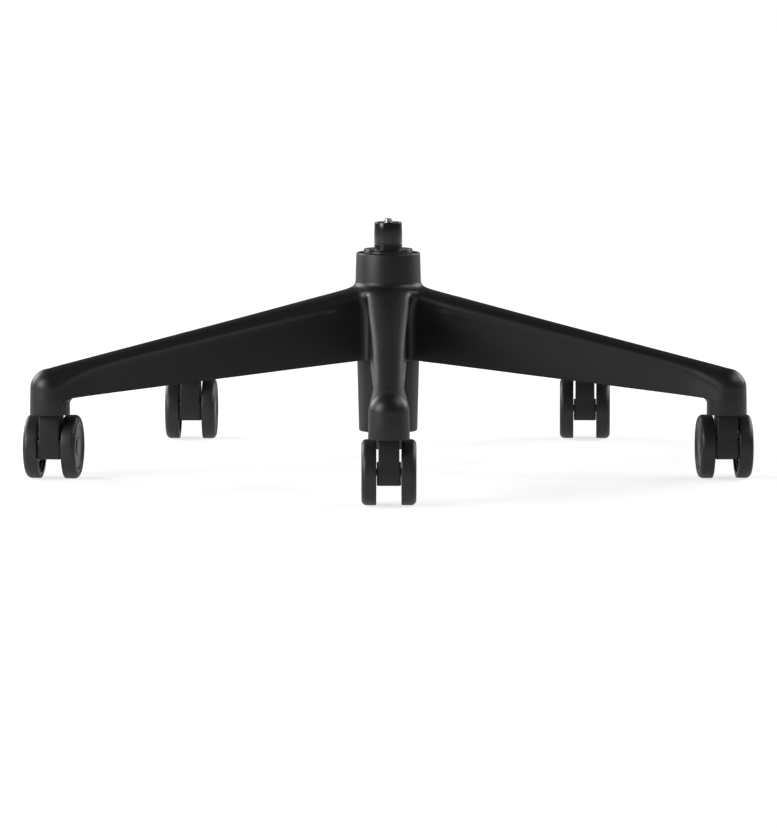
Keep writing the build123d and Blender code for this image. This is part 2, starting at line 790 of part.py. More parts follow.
# Wheel core: rim, hub, spokes on the inner side and a dished disc near the outer face
wheel_bore = axle_radius + running_gap
bead_radius = axle_radius - axle_groove_depth + running_gap
rim_outer = tyre_bore_radius - seat_gap
rim_inner = rim_outer - rim_wall
disc_face = wheel_outer_face - disc_recess
disc_back = disc_face - disc_thickness
cap_face = wheel_outer_face - cap_recess
rim_face = wheel_outer_face - rim_recess
with BuildPart() as wheel_core:
    with BuildSketch(axle_plane):
        with BuildLine():
            Polyline(
                (0, axle_half_length + side_gap),
                (wheel_bore, axle_half_length + side_gap),
                (wheel_bore, groove_end - face_gap),
                (bead_radius, groove_end - 2 * face_gap),
                (bead_radius, axle_groove_start + 2 * face_gap),
                (wheel_bore, axle_groove_start + face_gap),
                (wheel_bore, wheel_inner_face),
                (wheel_hub_radius, wheel_inner_face),
                (wheel_hub_radius, disc_back),
                (rim_inner, disc_back),
                (rim_inner, wheel_inner_face + rim_step),
                (rim_outer, wheel_inner_face + rim_step),
                (rim_outer, rim_face),
                (rim_inner, rim_face),
                (disc_radius, disc_face),
                (cap_radius + cap_recess, disc_face),
                (cap_radius, cap_face),
                (0, cap_face),
                close=True,
            )
        make_face()
    revolve(axis=axle_line)
    with BuildSketch(Plane.XZ.offset(-disc_back)):
        with Locations((caster_trail, wheel_radius)):
            Circle(ring_radius)
            Circle(ring_radius - ring_thickness, mode=Mode.SUBTRACT)
            with PolarLocations(wheel_hub_radius - 0.4, spoke_count):
                Rectangle(
                    rim_inner - wheel_hub_radius + 0.8,
                    spoke_thickness,
                    align=(Align.MIN, Align.CENTER),
                )
    extrude(amount=disc_back - wheel_inner_face - spoke_recess)

with BuildPart() as tyre:
    with BuildSketch(axle_plane) as tyre_side:
        with BuildLine():
            Polyline(
                (tyre_bore_radius, wheel_inner_face),
                (wheel_radius, wheel_inner_face),
                (wheel_radius, wheel_outer_face),
                (tyre_bore_radius, wheel_outer_face),
                close=True,
            )
        make_face()
        outer_corners = tyre_side.vertices().sort_by(Axis.X)[-2:].sort_by(Axis.Y)
        fillet(outer_corners[-1], tyre_shoulder)
        fillet(outer_corners[0], tyre_inner_edge)
    revolve(axis=axle_line)

os.makedirs("parts", exist_ok=True)

column_pieces = {
    "base_star": base_star,
    "column_tube": column_tube,
    "guide_bush": guide_bush,
    "pressure_tube": pressure_tube,
    "rod_guide": rod_guide,
    "valve_body": valve_body,
    "release_pin": release_pin,
    "piston_rod": piston_rod,
    "piston": piston,
    "rod_clip": rod_clip,
    "bearing_washer_lower": bearing_washer_lower,
    "bearing_balls": bearing_balls,
    "bearing_washer_upper": bearing_washer_upper,
    "bumper": bumper,
}
for name, piece in column_pieces.items():
    piece.part.label = name
    export_step(piece.part, "parts/" + name + ".step")

caster_pieces = {
    "stem": caster_stem.part,
    "grip_ring": grip_ring.part,
    "snap_ring": snap_ring.part,
    "caster_body": caster_body.part,
    "axle": axle.part,
    "wheel_left": wheel_core.part,
    "wheel_right": mirror(wheel_core.part, about=Plane.XZ),
    "tyre_left": tyre.part,
    "tyre_right": mirror(tyre.part, about=Plane.XZ),
}
for index, caster_name in enumerate(caster_names):
    leg_angle = math.radians(first_leg_angle + index * leg_angle_step)
    place = Location(
        (socket_circle_radius * math.cos(leg_angle), socket_circle_radius * math.sin(leg_angle), 0),
        (0, 0, caster_headings[index]),
    )
    for piece_name, shape in caster_pieces.items():
        placed = shape.moved(place)
        placed.label = caster_name + "_" + piece_name
        export_step(placed, "parts/" + placed.label + ".step")
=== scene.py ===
# %% [markdown]
# # A star base for an office chair
#
# The base is one nylon moulding with five legs, each on a twin-wheel caster, around the
# black steel column of a gas lift. The imported model gives every piece its place, so the
# lesson starts by loading it as a fixed frame.

# %% Load the frame
import bpy
import bmesh
import json
import math
from mathutils import Matrix, Vector


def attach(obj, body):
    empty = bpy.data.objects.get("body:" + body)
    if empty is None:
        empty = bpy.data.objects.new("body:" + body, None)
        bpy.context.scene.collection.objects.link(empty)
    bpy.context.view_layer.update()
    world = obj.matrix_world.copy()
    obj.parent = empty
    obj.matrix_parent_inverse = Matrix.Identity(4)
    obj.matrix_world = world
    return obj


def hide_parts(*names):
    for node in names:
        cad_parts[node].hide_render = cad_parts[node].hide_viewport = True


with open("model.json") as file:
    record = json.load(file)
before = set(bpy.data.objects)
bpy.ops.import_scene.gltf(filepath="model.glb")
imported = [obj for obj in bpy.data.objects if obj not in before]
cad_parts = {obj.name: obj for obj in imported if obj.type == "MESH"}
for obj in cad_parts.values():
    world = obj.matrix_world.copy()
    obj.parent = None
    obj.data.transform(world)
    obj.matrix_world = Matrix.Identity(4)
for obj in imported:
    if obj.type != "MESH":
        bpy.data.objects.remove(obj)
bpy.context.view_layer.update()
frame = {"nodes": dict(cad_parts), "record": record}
print("frame nodes", len(frame["nodes"]))

# %% [markdown]
# ## The camera
#
# The photograph looks at the base from a long way off and only a few degrees above the
# floor, so the legs hardly shrink with distance. A long lens does the same here. Its
# place comes from matching the leg ends, the hub and the wheels, and the aim is a point
# just above the floor, under the hub.

# %% Camera
camera_data = bpy.data.cameras.new("camera")
camera_data.sensor_width = 36.0
camera_data.lens = 287.6
camera_data.clip_end = 60.0
camera = bpy.data.objects.new("camera", camera_data)
bpy.context.scene.collection.objects.link(camera)
camera.location = (-0.0129, -6.5852, 0.6980)
aim = Vector((0.0003, 0.0, 0.0548))
camera.rotation_euler = (aim - camera.location).to_track_quat("-Z", "Y").to_euler()
bpy.context.scene.camera = camera
bpy.context.scene.view_settings.view_transform = "Standard"
print("camera distance", round((aim - camera.location).length, 3))

# %% [markdown]
# ## Helpers for modelling by hand
#
# Each helper does what a modeller does with the mouse: clear the selection, draw a
# profile by extruding one vertex, pick points by their place, round them, spin the
# profile into a solid. They work in millimetres, like the drawing of the base.

# %% Helpers: selection
MM = 0.001
print("one millimetre is", MM, "of Blender's units")


def deselect_all():
    if bpy.context.mode != "OBJECT":
        bpy.ops.object.mode_set(mode="OBJECT")
    bpy.ops.object.select_all(action="DESELECT")


def select_only(*pieces):
    """Selects these pieces in object mode and makes the last one active."""
    deselect_all()
    for piece in pieces:
        piece.select_set(True)
    bpy.context.view_layer.objects.active = pieces[-1]


def edit(piece):
    select_only(piece)
    bpy.ops.object.mode_set(mode="EDIT")
    bpy.context.tool_settings.mesh_select_mode = (True, False, False)


def pick(piece, test, kind="VERT"):
    """Selects the vertices, edges or faces whose middle passes the test, in millimetres."""
    bpy.context.tool_settings.mesh_select_mode = (kind == "VERT", kind == "EDGE", kind == "FACE")
    bpy.ops.mesh.select_all(action="DESELECT")
    mesh = bmesh.from_edit_mesh(piece.data)
    if kind == "VERT":
        found = [v for v in mesh.verts if test(v.co / MM)]
    elif kind == "EDGE":
        found = [e for e in mesh.edges if test((e.verts[0].co + e.verts[1].co) / 2 / MM)]
    else:
        found = [f for f in mesh.faces if test(f.calc_center_median() / MM, f.normal)]
    for element in found:
        element.select = True
    mesh.select_flush_mode()
    bmesh.update_edit_mesh(piece.data)
    return len(found)


NEAR = 0.05


def near(point):
    """A test that only points at this place pass, in millimetres."""
    target = Vector(point)
    return lambda co: (co - target).length < NEAR


# %% Helpers: profiles and lathe work
def draw_profile(name, points, closed=True):
    """Draws a profile of (radius, height) points in the XZ plane by extruding one vertex."""
    deselect_all()
    bpy.ops.mesh.primitive_plane_add(size=MM)
    piece = bpy.context.object
    piece.name = name
    piece.data.name = name
    edit(piece)
    bpy.ops.mesh.select_all(action="SELECT")
    bpy.ops.mesh.merge(type="CENTER")
    places = [Vector((r, 0, z)) * MM for r, z in points]
    bpy.ops.transform.translate(value=places[0])
    if closed:
        places.append(places[0])
    for here, there in zip(places, places[1:]):
        bpy.ops.mesh.extrude_region_move(TRANSFORM_OT_translate={"value": there - here})
    bpy.ops.mesh.select_all(action="SELECT")
    bpy.ops.mesh.remove_doubles(threshold=0.001 * MM)
    return piece


def round_corners(piece, *corners):
    """Rounds corners of a drawn profile, each given as r, z, radius and number of segments."""
    for r, z, radius, segments in corners:
        pick(piece, near((r, 0, z)))
        bpy.ops.mesh.bevel(offset=radius * MM, segments=segments, affect="VERTICES")


def lathe(piece, steps=96):
    """Spins the drawn profile once round Z and closes the seam."""
    bpy.ops.mesh.select_all(action="SELECT")
    bpy.ops.mesh.spin(steps=steps, angle=2 * math.pi, center=(0, 0, 0), axis=(0, 0, 1))
    bpy.ops.mesh.select_all(action="SELECT")
    bpy.ops.mesh.remove_doubles(threshold=0.002 * MM)
    bpy.ops.mesh.normals_make_consistent(inside=False)
    deselect_all()


# %% Helpers: finishing a piece
def apply_place(*pieces):
    """Writes the place and turn of the pieces into their meshes."""
    select_only(*pieces)
    bpy.ops.object.transform_apply(location=True, rotation=True, scale=True)


def apply_modifier(piece, modifier):
    select_only(piece)
    bpy.ops.object.modifier_apply(modifier=modifier.name)


def join(*pieces):
    """Joins the pieces into the last one."""
    select_only(*pieces)
    bpy.ops.object.join()


def finish_shape(piece, angle=35.0):
    """Smooth shading up to an angle, with the place kept in the mesh."""
    apply_place(piece)
    bpy.ops.object.shade_smooth_by_angle(angle=math.radians(angle))


def coat(piece, finish):
    """Gives the piece this finish and no other."""
    piece.data.materials.clear()
    piece.data.materials.append(finish)


# %% [markdown]
# ## The finishes
#
# Everything is black, and what tells the pieces apart is how they shine. The star and
# the caster bodies are glass-filled nylon with a fine spark-eroded grain, which spreads
# a highlight into a soft glow. The wheels are smoother, their treads are a little
# lighter, and the tube is polished. Each finish is a Principled shader whose colour,
# roughness and bump come from noise, so it needs no picture and no unwrapping.

# %% Helpers: shader nodes
def add_node(tree, kind, values=(), operation=None):
    """Adds a shader node, with values as a dictionary of its inputs."""
    node = tree.nodes.new("ShaderNode" + kind)
    for socket, value in dict(values).items():
        node.inputs[socket].default_value = value
    if operation:
        node.operation = operation
    return node


def link(tree, a, out, b, into):
    tree.links.new(a.outputs[out], b.inputs[into])


def new_finish(name):
    """A material, its node tree and the Principled shader in it."""
    material = bpy.data.materials.new(name)
    material.use_nodes = True
    return material, material.node_tree, material.node_tree.nodes["Principled BSDF"]


def add_ramp(tree, *stops):
    """A colour ramp with two stops, each given as position and colour."""
    ramp = add_node(tree, "ValToRGB")
    for stop, (position, colour) in zip(ramp.color_ramp.elements, stops):
        stop.position = position
        stop.color = (*colour, 1)
    return ramp


# %% Helper: a black moulded finish
BROAD_PATCHES = 28.0
GRAIN_STRENGTH = 0.6


def moulded(name, tone, rough, spread, grain, depth, soften):
    """A moulded plastic or rubber.

    tone is its grey, rough its roughness, and spread how far that wanders in broad
    patches. grain and depth are the size and the depth of its texture in millimetres,
    and soften is the radius that its sharp edges seem to have.
    """
    material, tree, shader = new_finish(name)
    place = add_node(tree, "TexCoord")
    fine = add_node(tree, "TexNoise", {"Scale": 1.0 / (grain * MM), "Detail": 3.0})
    link(tree, place, "Object", fine, "Vector")
    broad = add_node(tree, "TexNoise", {"Scale": BROAD_PATCHES, "Detail": 2.0})
    link(tree, place, "Object", broad, "Vector")
    colour = add_ramp(tree, (0.3, (tone * 0.86, tone * 0.86, tone * 0.88)),
                      (0.7, (tone * 1.12, tone * 1.11, tone * 1.10)))
    link(tree, fine, "Fac", colour, "Fac")
    link(tree, colour, "Color", shader, "Base Color")
    gloss = add_node(tree, "MapRange", {"To Min": rough - spread, "To Max": rough + spread})
    link(tree, broad, "Fac", gloss, "Value")
    link(tree, gloss, "Result", shader, "Roughness")
    bump = add_node(tree, "Bump", {"Strength": GRAIN_STRENGTH, "Distance": depth * MM})
    link(tree, fine, "Fac", bump, "Height")
    if soften:
        edge = add_node(tree, "Bevel", {"Radius": soften * MM})
        edge.samples = 8
        link(tree, edge, "Normal", bump, "Normal")
    link(tree, bump, "Normal", shader, "Normal")
    return material


nylon = moulded("nylon_black", 0.010, 0.41, 0.02, 0.5, 0.02, 0.8)
body_nylon = moulded("caster_nylon", 0.011, 0.42, 0.02, 0.5, 0.02, 0.4)
wheel_nylon = moulded("wheel_nylon", 0.011, 0.36, 0.03, 0.6, 0.01, 0.3)
tread = moulded("tread_black", 0.024, 0.42, 0.03, 0.7, 0.012, 0.0)
bush_acetal = moulded("bush_acetal", 0.010, 0.11, 0.02, 0.9, 0.004, 0.0)
rubber = moulded("bumper_rubber", 0.02, 0.75, 0.04, 0.8, 0.02, 0.0)


# %% Helper: a metal finish
RING_STRETCH = (60, 60, 2400)
COAT_ROUGHNESS = 0.06


def turned_metal(name, tone, rough, metallic, coating=0.0):
    """Turned, painted or polished steel, with fine rings round the Z axis."""
    material, tree, shader = new_finish(name)
    shader.inputs["Metallic"].default_value = metallic
    shader.inputs["Coat Weight"].default_value = coating
    shader.inputs["Coat Roughness"].default_value = COAT_ROUGHNESS
    place = add_node(tree, "TexCoord")
    squeeze = add_node(tree, "Mapping", {"Scale": RING_STRETCH})
    link(tree, place, "Object", squeeze, "Vector")
    rings = add_node(tree, "TexNoise", {"Scale": 1.0, "Detail": 2.0})
    link(tree, squeeze, "Vector", rings, "Vector")
    colour = add_ramp(tree, (0.0, (tone * 0.9,) * 3), (1.0, (tone * 1.1,) * 3))
    link(tree, rings, "Fac", colour, "Fac")
    link(tree, colour, "Color", shader, "Base Color")
    gloss = add_node(tree, "MapRange", {"To Min": rough * 0.8, "To Max": rough * 1.2})
    link(tree, rings, "Fac", gloss, "Value")
    link(tree, gloss, "Result", shader, "Roughness")
    return material


tube_gloss = turned_metal("tube_gloss", 0.010, 0.14, 0.0)
tube_black = turned_metal("tube_black", 0.02, 0.3, 0.0, 0.3)
steel = turned_metal("bright_steel", 0.55, 0.28, 1.0)
print("finishes", len(bpy.data.materials))

# %% [markdown]
# ## Dressing the frame
#
# Hidden and plain pieces, such as stems, rings, axles and the inside of the gas lift,
# keep their CAD shape and only get a finish. The record of the frame names a material
# slot for every piece, so one table from slot to finish dresses them all.

# %% Finishes for the CAD nodes
finish_of = {
    "nylon_black": nylon,
    "wheel_black": wheel_nylon,
    "tread_black": tread,
    "tube_black": tube_black,
    "tube_gloss": tube_gloss,
    "bush_plastic": bush_acetal,
    "steel": steel,
    "bumper_rubber": rubber,
}
for part in frame["record"]["subparts"]:
    node = frame["nodes"][part["node"]]
    finish = finish_of[part["material_slot"]]
    if part["node"].endswith("caster_body"):
        finish = body_nylon
    coat(node, finish)
print("dressed", len(frame["nodes"]))

# %% [markdown]
# ## The star
#
# The star is one moulding: a collar round the column, five legs with a rounded cap over
# flat side walls, and a round socket at the end of each leg. What the eye follows is
# the shoulder, the line where the cap turns over the wall, because it draws one smooth
# curve from leg to leg round every crotch. A half leg is enough to model: its mirror
# image and five turns give the rest. It starts as a grid, whose rows follow one another
# along the leg while the points of a row run over its section, and each point is moved
# to its place.

# %% The sizes of a leg along its run
LEG_SIZES = [
    # run, half width of cap, rise of cap, half width of wall, squareness of the cap
    (34.0, 21.7, 10.9, 17.3, 3.2),
    (62.0, 20.3, 12.0, 16.7, 2.8),
    (116.8, 18.0, 10.6, 15.5, 2.3),
    (174.6, 15.9, 9.6, 14.3, 2.0),
    (232.3, 14.6, 8.9, 13.4, 2.0),
    (285.0, 14.0, 8.6, 12.9, 2.0),
    (316.0, 14.8, 10.4, 13.8, 2.0),
    (336.0, 17.4, 14.8, 16.8, 2.0),
    (350.0, 19.4, 19.7, 19.4, 2.0),
]
CREST_SLOPE = math.tan(math.radians(12.8))
SOCKET_RUN = 350.0
SOCKET_RADIUS = 19.4
SOCKET_CENTRE_Z = 91.0
COVE_DROP = 3.6
WALL_DRAFT = 0.018
HALF_TURN = math.radians(36.0)
CREST_END_RUN, CREST_END_Z = 354.3, 109.92
FOOT_Z_AT_AXIS, FOOT_SLOPE = 114.4, 0.0985


def crest_z(run):
    return CREST_END_Z + CREST_SLOPE * (CREST_END_RUN - run)


def foot_z(run):
    return FOOT_Z_AT_AXIS - FOOT_SLOPE * run


def curve_weights(t):
    """Weights of start, slope at the start, end and slope at the end of a smooth curve."""
    return 2 * t**3 - 3 * t**2 + 1, t**3 - 2 * t**2 + t, 3 * t**2 - 2 * t**3, t**3 - t**2


def leg_size(run):
    """The sizes at a run, on a smooth curve through the table."""
    last = len(LEG_SIZES) - 1
    here = max(i for i in range(last) if LEG_SIZES[i][0] <= max(run, LEG_SIZES[0][0]))
    a, b = LEG_SIZES[here], LEG_SIZES[here + 1]
    before = LEG_SIZES[max(here - 1, 0)]
    after = LEG_SIZES[min(here + 2, last)]
    span = b[0] - a[0]
    start, start_slope, end, end_slope = curve_weights(min(max((run - a[0]) / span, 0.0), 1.0))
    sizes = []
    for k in range(1, 5):
        slope_a = (b[k] - before[k]) / (b[0] - before[0]) * span
        slope_b = (after[k] - a[k]) / (after[0] - a[0]) * span
        sizes.append(start * a[k] + start_slope * slope_a + end * b[k] + end_slope * slope_b)
    return sizes


print("leg sizes at 200", [round(v, 2) for v in leg_size(200.0)])

# %% [markdown]
# The section has three stretches: the cap, from its crest down to the widest line of the
# shoulder, the cove tucked in under it, and the wall. Near the hub the cap is squarer,
# so that the caps of two legs meet almost flat and no valley shows between them.

# %% A point of the section
CAP_STEPS, COVE_STEPS, WALL_STEPS = 16, 5, 6
TO_COLLAR = 10


def over_section(index, half, rise, wall, square, crest, foot):
    """Side step and height of a point of the section: cap, then cove, then wall."""
    ridge = crest - rise
    if index <= CAP_STEPS:
        turn = math.pi / 2 * index / CAP_STEPS
        side = half * math.sin(turn) ** (2 / square)
        return side, ridge + rise * max(math.cos(turn), 0.0) ** (2 / square)
    if index <= CAP_STEPS + COVE_STEPS:
        share = (index - CAP_STEPS) / COVE_STEPS
        side = wall + (half - wall) * (0.5 + 0.5 * math.cos(math.pi * share))
        return side, ridge - COVE_DROP * share
    share = (index - CAP_STEPS - COVE_STEPS) / WALL_STEPS
    wall_top = ridge - COVE_DROP
    height = wall_top + share * (foot - wall_top)
    return wall + WALL_DRAFT * (wall_top - height), height


print("points over half a section", CAP_STEPS + COVE_STEPS + WALL_STEPS + 1)

# %% [markdown]
# Along the run a line of the grid is straight down the leg, and its two ends are the
# craft. At the socket it turns a quarter round the swivel axis and closes the dome. At
# the hub the inner lines run up to the foot of the collar, and the outer ones sweep
# round the crotch and meet the neighbouring leg's lines square on.

# %% Points along the leg and round the socket
LEVEL_RUN, LEVEL_Z, LEVEL_SLOPE = 346.0, 110.7, 0.02
EASE_RISE, EASE_OUT, EASE_ACROSS = 0.3, 6.0, 15.0


def straight_point(index, run):
    """A point of the plain leg, whose crest turns nearly level over the socket."""
    half, rise, wall, square = leg_size(run)
    crest = crest_z(run)
    if run >= LEVEL_RUN:
        crest = min(crest, LEVEL_Z + LEVEL_SLOPE * (SOCKET_RUN - run))
    side, height = over_section(index, half, rise, wall, square, crest, foot_z(run))
    return Vector((run, side, height))


def socket_point(index, turn):
    """The quarter turn round the swivel axis, with the crest eased into the dome."""
    side, height = over_section(index, SOCKET_RADIUS, SOCKET_RADIUS, SOCKET_RADIUS, 2.0,
                                SOCKET_CENTRE_Z + SOCKET_RADIUS, foot_z(SOCKET_RUN))
    out = side * math.cos(turn)
    across = side * math.sin(turn)
    ease = (EASE_RISE * max(0.0, 1 - out / EASE_OUT) ** 2
            * max(0.0, 1 - (across / EASE_ACROSS) ** 2))
    return Vector((SOCKET_RUN + out, across, height + ease))


print("crest over the socket", round(straight_point(0, SOCKET_RUN).z, 2))

# %% Where a line ends at the hub
COLLAR_FOOT = (38.75, 181.6)
CROTCH_RADIUS = 8.0
CROTCH_RIDGE_Z = 171.3
CROTCH_SIZE_RUN = 40.0


def round_hub(radius, turn, height):
    return Vector((radius * math.cos(turn), radius * math.sin(turn), height))


def crotch_end(index):
    """Where a line ends, at the collar's foot or between two legs, and its heading there."""
    if index <= TO_COLLAR:
        turn = HALF_TURN * index / TO_COLLAR
        heading = Vector((-math.cos(turn), -math.sin(turn), CREST_SLOPE))
        return round_hub(COLLAR_FOOT[0], turn, COLLAR_FOOT[1]), heading
    half, _, wall, _ = leg_size(CROTCH_SIZE_RUN)
    ridge_r = (half + CROTCH_RADIUS) / math.sin(HALF_TURN) - CROTCH_RADIUS
    wall_r = (wall + CROTCH_RADIUS) / math.sin(HALF_TURN) - CROTCH_RADIUS
    if index <= CAP_STEPS:
        turn = math.pi / 2 * (index - TO_COLLAR) / (CAP_STEPS - TO_COLLAR)
        radius = COLLAR_FOOT[0] + (ridge_r - COLLAR_FOOT[0]) * math.sin(turn)
        height = CROTCH_RIDGE_Z + (COLLAR_FOOT[1] - CROTCH_RIDGE_Z) * math.cos(turn)
    else:
        radius, height = over_section(index, ridge_r, 0.0, wall_r, 2.0, CROTCH_RIDGE_Z,
                                      foot_z(wall_r))
    heading = Vector((-math.sin(HALF_TURN), math.cos(HALF_TURN), 0.0))
    return round_hub(radius, HALF_TURN, height), heading


print("radius of the crotch at the shoulder",
      round(math.hypot(*crotch_end(CAP_STEPS)[0].xy), 1))

# %% A point of the half leg
SOCKET_ROWS, LEG_ROWS, CROTCH_ROWS = 12, 56, 12
CREST_LEAVES_AT = 52.0
SWEEP_SIZE_RUN = 44.0
CROTCH_FULLNESS = 1.06


def sweep_start(index):
    """How far out a line leaves the straight leg for its sweep."""
    side = straight_point(index, SWEEP_SIZE_RUN).y
    share = min(index / TO_COLLAR, 1.0)
    outer_leaves_at = (side + CROTCH_RADIUS) / math.tan(HALF_TURN) + 1.0
    return CREST_LEAVES_AT + share * (outer_leaves_at - CREST_LEAVES_AT)


def half_leg_point(index, row):
    """A point of the grid: index counts over the section, row from the socket to the hub."""
    if row <= SOCKET_ROWS:
        return socket_point(index, math.pi / 2 * row / SOCKET_ROWS)
    row -= SOCKET_ROWS
    start = sweep_start(index)
    if row <= LEG_ROWS:
        return straight_point(index, SOCKET_RUN + (start - SOCKET_RUN) * (row / LEG_ROWS))
    leave, leave_slope, arrive, arrive_slope = curve_weights((row - LEG_ROWS) / CROTCH_ROWS)
    here = straight_point(index, start)
    ahead = (straight_point(index, start - 0.5) - here).normalized()
    end, heading = crotch_end(index)
    reach = (end - here).length * (1.0 if index <= TO_COLLAR else CROTCH_FULLNESS)
    return (leave * here + leave_slope * reach * ahead
            + arrive * end + arrive_slope * reach * heading.normalized())


print("lines leave the leg from", sweep_start(0), "to", round(sweep_start(TO_COLLAR), 1))

# %% The half leg
section_points = CAP_STEPS + COVE_STEPS + WALL_STEPS
rows = SOCKET_ROWS + LEG_ROWS + CROTCH_ROWS
deselect_all()
bpy.ops.mesh.primitive_grid_add(x_subdivisions=rows, y_subdivisions=section_points, size=1.0)
star = bpy.context.object
star.name = "star"
star.data.name = "star"
for point in star.data.vertices:
    row = round((point.co.x + 0.5) * rows)
    index = round((point.co.y + 0.5) * section_points)
    point.co = half_leg_point(index, row) * MM
print("half leg points", len(star.data.vertices))

# %% [markdown]
# Mirror it over the middle of the leg, then turn copies of the leg round the hub. The
# legs meet point on point, so that a merge can weld them into a single skin later.

# %% Five legs from one half
def leg_angle(leg):
    """The heading of a leg: the first points at the camera, the next to its right."""
    return math.radians(-90 + 72 * leg)


def socket_place(leg):
    """The point of the floor under a leg's socket."""
    angle = leg_angle(leg)
    return Vector((SOCKET_RUN * math.cos(angle), SOCKET_RUN * math.sin(angle), 0)) * MM


mirror = star.modifiers.new("other half", "MIRROR")
mirror.use_axis = (False, True, False)
mirror.merge_threshold = 0.01 * MM
apply_modifier(star, mirror)
legs = [star]
for turn in range(1, 5):
    leg = star.copy()
    leg.data = star.data.copy()
    bpy.context.scene.collection.objects.link(leg)
    leg.rotation_euler = (0, 0, leg_angle(turn))
    legs.append(leg)
star.rotation_euler = (0, 0, leg_angle(0))
apply_place(*legs)
print("legs", len(legs))

# %% [markdown]
# The collar is a turned shape whose foot flares out to meet the legs. It is spun with as
# many steps as the legs have points there, so that it welds on without a gap. The lower
# hub and the socket sleeves are turned as well.

# %% Collar
COLLAR_RADIUS, COLLAR_FOOT_TOP_Z = 32.75, 188.9
COLLAR_TOP_RADIUS, COLLAR_TOP_Z = 31.8, 217.3
COLLAR_BORE = 25.5
FLARE_BEND_Z = 182.96
FLARE_STEPS = 8

collar_points = []
for step in range(FLARE_STEPS + 1):
    t = step / FLARE_STEPS
    collar_points.append((
        COLLAR_FOOT[0] * (1 - t) ** 2 + COLLAR_RADIUS * (1 - (1 - t) ** 2),
        COLLAR_FOOT[1] * (1 - t) ** 2 + FLARE_BEND_Z * 2 * t * (1 - t) + COLLAR_FOOT_TOP_Z * t**2))
collar_points += [(COLLAR_TOP_RADIUS, COLLAR_TOP_Z), (COLLAR_BORE, COLLAR_TOP_Z),
                  (COLLAR_BORE, 150.0)]
collar = draw_profile("collar", collar_points, closed=False)
round_corners(collar, (COLLAR_TOP_RADIUS, COLLAR_TOP_Z, 2.0, 6),
              (COLLAR_BORE, COLLAR_TOP_Z, 0.4, 2))
lathe(collar, 10 * TO_COLLAR)
print("collar faces", len(collar.data.polygons))

# %% Hub and socket sleeves
HUB_FOOT_Z = 38.4
SLEEVE_RADIUS, SLEEVE_BORE, SLEEVE_FOOT_Z = 19.85, 16.2, 65.2

hub = draw_profile("hub", [(31.5, 128.0), (29.2, HUB_FOOT_Z), (22.9, HUB_FOOT_Z), (22.9, 60.0)],
                   closed=False)
round_corners(hub, (29.2, HUB_FOOT_Z, 1.4, 5), (22.9, HUB_FOOT_Z, 0.5, 2))
lathe(hub)
hub_and_sleeves = [hub]
for turn in range(5):
    sleeve = draw_profile("sleeve", [(19.53, 84.9), (SLEEVE_RADIUS, SLEEVE_FOOT_Z),
                                     (SLEEVE_BORE, SLEEVE_FOOT_Z), (SLEEVE_BORE, 68.0)],
                          closed=False)
    round_corners(sleeve, (SLEEVE_RADIUS, SLEEVE_FOOT_Z, 0.6, 3))
    lathe(sleeve, 72)
    sleeve.location = socket_place(turn)
    hub_and_sleeves.append(sleeve)
print("hub and sleeves", len(hub_and_sleeves))

# %% [markdown]
# From below the star is hollow, with a long rib and cross ribs in every leg and a ribbed
# relief round every stem. That inner side is right in the CAD node, so a copy of it
# gives the underside: its outer faces are picked by their place and deleted.

# %% The ribbed underside from the node
HUB_REACH = 47.0
SOCKET_REACH, SOCKET_INSIDE = 20.0, 18.4
WALL_SKIN, CAP_SKIN = 1.2, 3.0

select_only(frame["nodes"]["base_star"])
bpy.ops.object.duplicate()
underside = bpy.context.object
underside.name = "underside"
edit(underside)
bpy.ops.mesh.select_all(action="SELECT")
bpy.ops.mesh.remove_doubles(threshold=0.004 * MM)


def on_outside(co, normal):
    """True for a face that the new skin, the collar, the hub or a sleeve stands for."""
    radius = math.hypot(co.x, co.y)
    turn = (math.atan2(co.y, co.x) + math.pi / 2 + HALF_TURN) % (2 * HALF_TURN) - HALF_TURN
    run = radius * math.cos(turn)
    side = abs(radius * math.sin(turn))
    from_socket = math.hypot(run - SOCKET_RUN, side)
    if run < HUB_REACH:
        return not (normal.z < -0.7 and co.z < 118.0 and radius > 31.0)
    if from_socket < SOCKET_REACH and co.z < foot_z(run) + 1.0:
        return from_socket > SOCKET_INSIDE
    if co.z < foot_z(run) + 0.05:
        return False
    if run > SOCKET_RUN - 14.0:
        return from_socket > SOCKET_INSIDE or co.z > SOCKET_CENTRE_Z + 13.0
    return side > leg_size(run)[2] - WALL_SKIN or co.z > crest_z(run) - CAP_SKIN


dropped = pick(underside, on_outside, "FACE")
bpy.ops.mesh.delete(type="FACE")
deselect_all()
print("outer faces taken off", dropped)

# %% [markdown]
# Now the legs and the collar are joined and their meeting points welded, which makes one
# skin. At the crotches many lines come together and a highlight shows every small bump,
# so the points there are smoothed. The hub, the sleeves and the underside join last.

# %% Join, weld and finish the star
CROTCH_REACH, CROTCH_FOOT_Z, CROTCH_TOP_Z = 70.0, 158.0, 187.0

join(*legs[1:], collar, star)
edit(star)
bpy.ops.mesh.select_all(action="SELECT")
bpy.ops.mesh.remove_doubles(threshold=0.05 * MM)
bpy.ops.mesh.normals_make_consistent(inside=False)
smoothed = pick(star, lambda co: (math.hypot(co.x, co.y) < CROTCH_REACH
                                  and CROTCH_FOOT_Z < co.z < CROTCH_TOP_Z))
bpy.ops.mesh.vertices_smooth(factor=0.5, repeat=16)
print("points smoothed at the crotches", smoothed)
join(*hub_and_sleeves, underside, star)
finish_shape(star, 38.0)
coat(star, nylon)
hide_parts("base_star")
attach(star, "base")
print("star faces", len(star.data.polygons))

# %% [markdown]
# ## The gas lift
#
# The gas lift shows three turned pieces, one inside the other: the painted outer column,
# the slippery guide bush whose thin lip shows above the collar, and the polished tube
# that the seat sits on, with the release pin in its top. A turned piece is a profile
# spun round its axis. Every corner that shows is rounded before the spin, because an
# edge without a radius never catches the light.

